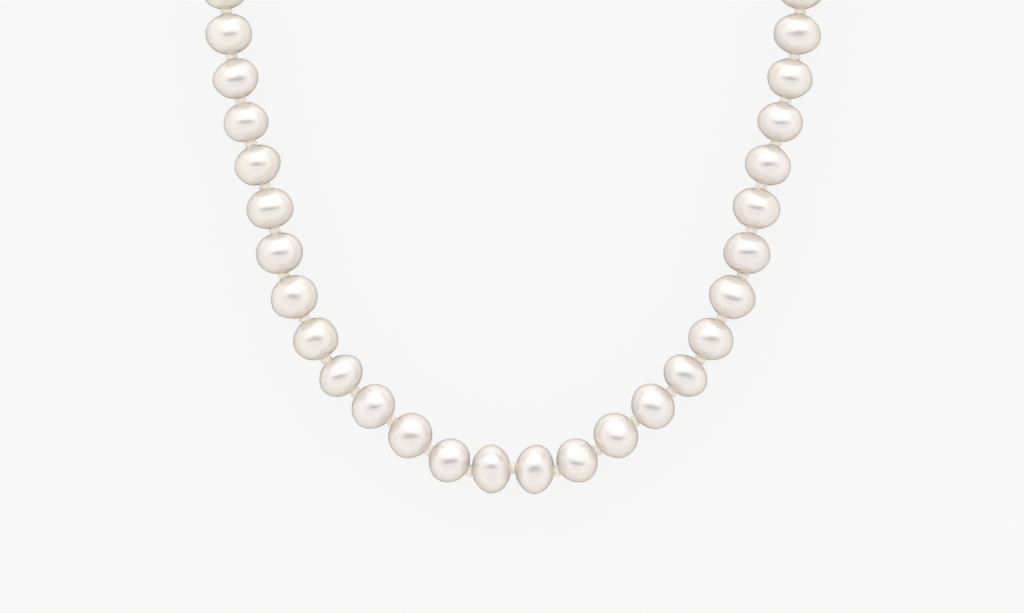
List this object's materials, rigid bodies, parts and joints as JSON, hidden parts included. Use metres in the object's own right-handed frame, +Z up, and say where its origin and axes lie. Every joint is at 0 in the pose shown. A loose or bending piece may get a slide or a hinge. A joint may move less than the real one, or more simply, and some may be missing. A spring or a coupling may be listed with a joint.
{
  "type": "pearl necklace",
  "caption": "Knotted strand of near-round drilled pearls laid open in a U, with a sprung claw clasp at one end and a ring at the other.",
  "frame": {"origin": "on the table under the middle of the laid strand", "axes": "+Z up from the table; +Y from the strand's middle knot towards the clasp; +X to the side of the end ring"},
  "size_m": [0.1116, 0.1956, 0.0085],
  "materials": {
    "pearl": "nacre, soft satin lustre",
    "silk": "twisted silk cord",
    "french_wire": "fine silver coil",
    "silver": "polished sterling silver",
    "spring_steel": "drawn wire"
  },
  "bodies": {
    "strand_right_01": {"pearl_right_01": "pearl"},
    "strand_right_02": {"pearl_right_02": "pearl"},
    "strand_right_03": {"pearl_right_03": "pearl"},
    "strand_right_04": {"pearl_right_04": "pearl"},
    "strand_right_05": {"pearl_right_05": "pearl"},
    "strand_right_06": {"pearl_right_06": "pearl"},
    "strand_right_07": {"pearl_right_07": "pearl"},
    "strand_right_08": {"pearl_right_08": "pearl"},
    "strand_right_09": {"pearl_right_09": "pearl"},
    "strand_right_10": {"pearl_right_10": "pearl"},
    "strand_right_11": {"pearl_right_11": "pearl"},
    "strand_right_12": {"pearl_right_12": "pearl"},
    "strand_right_13": {"pearl_right_13": "pearl"},
    "strand_right_14": {"pearl_right_14": "pearl"},
    "strand_right_15": {"pearl_right_15": "pearl"},
    "strand_right_16": {"pearl_right_16": "pearl"},
    "strand_right_17": {"pearl_right_17": "pearl"},
    "strand_right_18": {"pearl_right_18": "pearl"},
    "strand_right_19": {"pearl_right_19": "pearl"},
    "strand_right_20": {"pearl_right_20": "pearl"},
    "strand_right_21": {"pearl_right_21": "pearl"},
    "strand_right_22": {"pearl_right_22": "pearl"},
    "strand_right_23": {"pearl_right_23": "pearl"},
    "strand_right_24": {"pearl_right_24": "pearl"},
    "strand_right_25": {"pearl_right_25": "pearl"},
    "strand_left_01": {"pearl_left_01": "pearl"},
    "strand_left_02": {"pearl_left_02": "pearl"},
    "strand_left_03": {"pearl_left_03": "pearl"},
    "strand_left_04": {"pearl_left_04": "pearl"},
    "strand_left_05": {"pearl_left_05": "pearl"},
    "strand_left_06": {"pearl_left_06": "pearl"},
    "strand_left_07": {"pearl_left_07": "pearl"},
    "strand_left_08": {"pearl_left_08": "pearl"},
    "strand_left_09": {"pearl_left_09": "pearl"},
    "strand_left_10": {"pearl_left_10": "pearl"},
    "strand_left_11": {"pearl_left_11": "pearl"},
    "strand_left_12": {"pearl_left_12": "pearl"},
    "strand_left_13": {"pearl_left_13": "pearl"},
    "strand_left_14": {"pearl_left_14": "pearl"},
    "strand_left_15": {"pearl_left_15": "pearl"},
    "strand_left_16": {"pearl_left_16": "pearl"},
    "strand_left_17": {"pearl_left_17": "pearl"},
    "strand_left_18": {"pearl_left_18": "pearl"},
    "strand_left_19": {"pearl_left_19": "pearl"},
    "strand_left_20": {"pearl_left_20": "pearl"},
    "strand_left_21": {"pearl_left_21": "pearl"},
    "strand_left_22": {"pearl_left_22": "pearl"},
    "strand_left_23": {"pearl_left_23": "pearl"},
    "strand_left_24": {"pearl_left_24": "pearl"},
    "strand_left_25": {"pearl_left_25": "pearl"},
    "loop_right": {"end_loop_right": "french_wire"},
    "link": {"link_ring": "silver"},
    "ring": {"end_ring": "silver"},
    "loop_left": {"end_loop_left": "french_wire"},
    "swivel": {"swivel_ring": "silver"},
    "claw": {"claw_body": "silver", "lever_rivet": "silver", "lever_spring": "spring_steel"},
    "lever": {"claw_lever": "silver"}
  },
  "joints": [
    {"name": "claw_lever_open", "type": "hinge", "parent": "claw", "child": "lever", "pos_m": [-0.04496, 0.09187, 0.0015], "axis": [0, 0, 1], "range_deg": [0, 30], "stiffness_Nm_per_rad": 0.005, "deforming": ["lever_spring"]},
    {"name": "claw_swing", "type": "hinge", "parent": "swivel", "child": "claw", "pos_m": [-0.04702, 0.08766, 0.0015], "axis": [0, 0, 1], "range_deg": [-35, 35]},
    {"name": "claw_swivel_ring_swing", "type": "hinge", "parent": "loop_left", "child": "swivel", "pos_m": [-0.04738, 0.08416, 0.00238], "axis": [0, 0, 1], "range_deg": [-30, 30]},
    {"name": "end_ring_swing", "type": "hinge", "parent": "link", "child": "ring", "pos_m": [0.04718, 0.08607, 0.00172], "axis": [0, 0, 1], "range_deg": [-30, 30]},
    {"name": "end_link_ring_swing", "type": "hinge", "parent": "loop_right", "child": "link", "pos_m": [0.04738, 0.08416, 0.00238], "axis": [0, 0, 1], "range_deg": [-30, 30]},
    {"name": "knot_end_left", "type": "hinge", "parent": "strand_left_25", "child": "loop_left", "pos_m": [-0.04778, 0.08036, 0.00425], "axis": [0, 0, 1], "range_deg": [-32, 35]},
    {"name": "knot_end_right", "type": "hinge", "parent": "strand_right_25", "child": "loop_right", "pos_m": [0.04778, 0.08036, 0.00425], "axis": [0, 0, -1], "range_deg": [-32, 35]},
    {"name": "knot_middle", "type": "hinge", "parent": "strand_right_01", "child": "strand_left_01", "pos_m": [0, -0.09329, 0.00425], "axis": [0, 0, -1], "range_deg": [-32, 22]},
    {"name": "knot_right_01", "type": "hinge", "parent": "strand_right_01", "child": "strand_right_02", "pos_m": [0.00758, -0.09382, 0.00425], "axis": [0, 0, -1], "range_deg": [-9, 35]},
    {"name": "knot_left_01", "type": "hinge", "parent": "strand_left_01", "child": "strand_left_02", "pos_m": [-0.00758, -0.09382, 0.00425], "axis": [0, 0, 1], "range_deg": [-9, 35]},
    {"name": "knot_right_02", "type": "hinge", "parent": "strand_right_02", "child": "strand_right_03", "pos_m": [0.01462, -0.09023, 0.00425], "axis": [0, 0, -1], "range_deg": [-22, 35]},
    {"name": "knot_left_02", "type": "hinge", "parent": "strand_left_02", "child": "strand_left_03", "pos_m": [-0.01462, -0.09023, 0.00425], "axis": [0, 0, 1], "range_deg": [-22, 35]},
    {"name": "knot_right_03", "type": "hinge", "parent": "strand_right_03", "child": "strand_right_04", "pos_m": [0.02116, -0.08512, 0.00425], "axis": [0, 0, -1], "range_deg": [-22, 35]},
    {"name": "knot_left_03", "type": "hinge", "parent": "strand_left_03", "child": "strand_left_04", "pos_m": [-0.02116, -0.08512, 0.00425], "axis": [0, 0, 1], "range_deg": [-22, 35]},
    {"name": "knot_right_04", "type": "hinge", "parent": "strand_right_04", "child": "strand_right_05", "pos_m": [0.02746, -0.08002, 0.00425], "axis": [0, 0, -1], "range_deg": [-22, 35]},
    {"name": "knot_left_04", "type": "hinge", "parent": "strand_left_04", "child": "strand_left_05", "pos_m": [-0.02746, -0.08002, 0.00425], "axis": [0, 0, 1], "range_deg": [-22, 35]},
    {"name": "knot_right_05", "type": "hinge", "parent": "strand_right_05", "child": "strand_right_06", "pos_m": [0.03247, -0.07445, 0.00425], "axis": [0, 0, 1], "range_deg": [-35, 22]},
    {"name": "knot_left_05", "type": "hinge", "parent": "strand_left_05", "child": "strand_left_06", "pos_m": [-0.03247, -0.07445, 0.00425], "axis": [0, 0, -1], "range_deg": [-35, 22]},
    {"name": "knot_right_06", "type": "hinge", "parent": "strand_right_06", "child": "strand_right_07", "pos_m": [0.03628, -0.0673, 0.00425], "axis": [0, 0, 1], "range_deg": [-35, 22]},
    {"name": "knot_left_06", "type": "hinge", "parent": "strand_left_06", "child": "strand_left_07", "pos_m": [-0.03628, -0.0673, 0.00425], "axis": [0, 0, -1], "range_deg": [-35, 22]},
    {"name": "knot_right_07", "type": "hinge", "parent": "strand_right_07", "child": "strand_right_08", "pos_m": [0.03991, -0.05984, 0.00425], "axis": [0, 0, 1], "range_deg": [-35, 22]},
    {"name": "knot_left_07", "type": "hinge", "parent": "strand_left_07", "child": "strand_left_08", "pos_m": [-0.03991, -0.05984, 0.00425], "axis": [0, 0, -1], "range_deg": [-35, 22]},
    {"name": "knot_right_08", "type": "hinge", "parent": "strand_right_08", "child": "strand_right_09", "pos_m": [0.04144, -0.05198, 0.00425], "axis": [0, 0, 1], "range_deg": [-35, 32]},
    {"name": "knot_left_08", "type": "hinge", "parent": "strand_left_08", "child": "strand_left_09", "pos_m": [-0.04144, -0.05198, 0.00425], "axis": [0, 0, -1], "range_deg": [-35, 32]},
    {"name": "knot_right_09", "type": "hinge", "parent": "strand_right_09", "child": "strand_right_10", "pos_m": [0.04322, -0.04429, 0.00425], "axis": [0, 0, -1], "range_deg": [-32, 35]},
    {"name": "knot_left_09", "type": "hinge", "parent": "strand_left_09", "child": "strand_left_10", "pos_m": [-0.04322, -0.04429, 0.00425], "axis": [0, 0, 1], "range_deg": [-32, 35]},
    {"name": "knot_right_10", "type": "hinge", "parent": "strand_right_10", "child": "strand_right_11", "pos_m": [0.04563, -0.03687, 0.00425], "axis": [0, 0, -1], "range_deg": [-32, 35]},
    {"name": "knot_left_10", "type": "hinge", "parent": "strand_left_10", "child": "strand_left_11", "pos_m": [-0.04563, -0.03687, 0.00425], "axis": [0, 0, 1], "range_deg": [-32, 35]},
    {"name": "knot_right_11", "type": "hinge", "parent": "strand_right_11", "child": "strand_right_12", "pos_m": [0.04736, -0.02936, 0.00425], "axis": [0, 0, -1], "range_deg": [-32, 35]},
    {"name": "knot_left_11", "type": "hinge", "parent": "strand_left_11", "child": "strand_left_12", "pos_m": [-0.04736, -0.02936, 0.00425], "axis": [0, 0, 1], "range_deg": [-32, 35]},
    {"name": "knot_right_12", "type": "hinge", "parent": "strand_right_12", "child": "strand_right_13", "pos_m": [0.04898, -0.02174, 0.00425], "axis": [0, 0, -1], "range_deg": [-32, 35]},
    {"name": "knot_left_12", "type": "hinge", "parent": "strand_left_12", "child": "strand_left_13", "pos_m": [-0.04898, -0.02174, 0.00425], "axis": [0, 0, 1], "range_deg": [-32, 35]},
    {"name": "knot_right_13", "type": "hinge", "parent": "strand_right_13", "child": "strand_right_14", "pos_m": [0.04995, -0.01389, 0.00425], "axis": [0, 0, 1], "range_deg": [-35, 32]},
    {"name": "knot_left_13", "type": "hinge", "parent": "strand_left_13", "child": "strand_left_14", "pos_m": [-0.04995, -0.01389, 0.00425], "axis": [0, 0, -1], "range_deg": [-35, 32]},
    {"name": "knot_right_14", "type": "hinge", "parent": "strand_right_14", "child": "strand_right_15", "pos_m": [0.05049, -0.00611, 0.00425], "axis": [0, 0, 1], "range_deg": [-35, 32]},
    {"name": "knot_left_14", "type": "hinge", "parent": "strand_left_14", "child": "strand_left_15", "pos_m": [-0.05049, -0.00611, 0.00425], "axis": [0, 0, -1], "range_deg": [-35, 32]},
    {"name": "knot_right_15", "type": "hinge", "parent": "strand_right_15", "child": "strand_right_16", "pos_m": [0.05133, 0.00184, 0.00425], "axis": [0, 0, 1], "range_deg": [-35, 32]},
    {"name": "knot_left_15", "type": "hinge", "parent": "strand_left_15", "child": "strand_left_16", "pos_m": [-0.05133, 0.00184, 0.00425], "axis": [0, 0, -1], "range_deg": [-35, 32]},
    {"name": "knot_right_16", "type": "hinge", "parent": "strand_right_16", "child": "strand_right_17", "pos_m": [0.0516, 0.00974, 0.00425], "axis": [0, 0, 1], "range_deg": [-35, 32]},
    {"name": "knot_left_16", "type": "hinge", "parent": "strand_left_16", "child": "strand_left_17", "pos_m": [-0.0516, 0.00974, 0.00425], "axis": [0, 0, -1], "range_deg": [-35, 32]},
    {"name": "knot_right_17", "type": "hinge", "parent": "strand_right_17", "child": "strand_right_18", "pos_m": [0.05147, 0.01744, 0.00425], "axis": [0, 0, -1], "range_deg": [-32, 35]},
    {"name": "knot_left_17", "type": "hinge", "parent": "strand_left_17", "child": "strand_left_18", "pos_m": [-0.05147, 0.01744, 0.00425], "axis": [0, 0, 1], "range_deg": [-32, 35]},
    {"name": "knot_right_18", "type": "hinge", "parent": "strand_right_18", "child": "strand_right_19", "pos_m": [0.05175, 0.02543, 0.00425], "axis": [0, 0, -1], "range_deg": [-32, 35]},
    {"name": "knot_left_18", "type": "hinge", "parent": "strand_left_18", "child": "strand_left_19", "pos_m": [-0.05175, 0.02543, 0.00425], "axis": [0, 0, 1], "range_deg": [-32, 35]},
    {"name": "knot_right_19", "type": "hinge", "parent": "strand_right_19", "child": "strand_right_20", "pos_m": [0.05147, 0.03333, 0.00425], "axis": [0, 0, -1], "range_deg": [-32, 35]},
    {"name": "knot_left_19", "type": "hinge", "parent": "strand_left_19", "child": "strand_left_20", "pos_m": [-0.05147, 0.03333, 0.00425], "axis": [0, 0, 1], "range_deg": [-32, 35]},
    {"name": "knot_right_20", "type": "hinge", "parent": "strand_right_20", "child": "strand_right_21", "pos_m": [0.05093, 0.04111, 0.00425], "axis": [0, 0, -1], "range_deg": [-32, 35]},
    {"name": "knot_left_20", "type": "hinge", "parent": "strand_left_20", "child": "strand_left_21", "pos_m": [-0.05093, 0.04111, 0.00425], "axis": [0, 0, 1], "range_deg": [-32, 35]},
    {"name": "knot_right_21", "type": "hinge", "parent": "strand_right_21", "child": "strand_right_22", "pos_m": [0.05079, 0.04911, 0.00425], "axis": [0, 0, 1], "range_deg": [-35, 32]},
    {"name": "knot_left_21", "type": "hinge", "parent": "strand_left_21", "child": "strand_left_22", "pos_m": [-0.05079, 0.04911, 0.00425], "axis": [0, 0, -1], "range_deg": [-35, 32]},
    {"name": "knot_right_22", "type": "hinge", "parent": "strand_right_22", "child": "strand_right_23", "pos_m": [0.0501, 0.05698, 0.00425], "axis": [0, 0, 1], "range_deg": [-35, 32]},
    {"name": "knot_left_22", "type": "hinge", "parent": "strand_left_22", "child": "strand_left_23", "pos_m": [-0.0501, 0.05698, 0.00425], "axis": [0, 0, -1], "range_deg": [-35, 32]},
    {"name": "knot_right_23", "type": "hinge", "parent": "strand_right_23", "child": "strand_right_24", "pos_m": [0.04915, 0.06472, 0.00425], "axis": [0, 0, 1], "range_deg": [-35, 32]},
    {"name": "knot_left_23", "type": "hinge", "parent": "strand_left_23", "child": "strand_left_24", "pos_m": [-0.04915, 0.06472, 0.00425], "axis": [0, 0, -1], "range_deg": [-35, 32]},
    {"name": "knot_right_24", "type": "hinge", "parent": "strand_right_24", "child": "strand_right_25", "pos_m": [0.0486, 0.0726, 0.00425], "axis": [0, 0, 1], "range_deg": [-35, 32]},
    {"name": "knot_left_24", "type": "hinge", "parent": "strand_left_24", "child": "strand_left_25", "pos_m": [-0.0486, 0.0726, 0.00425], "axis": [0, 0, -1], "range_deg": [-35, 32]}
  ]
}
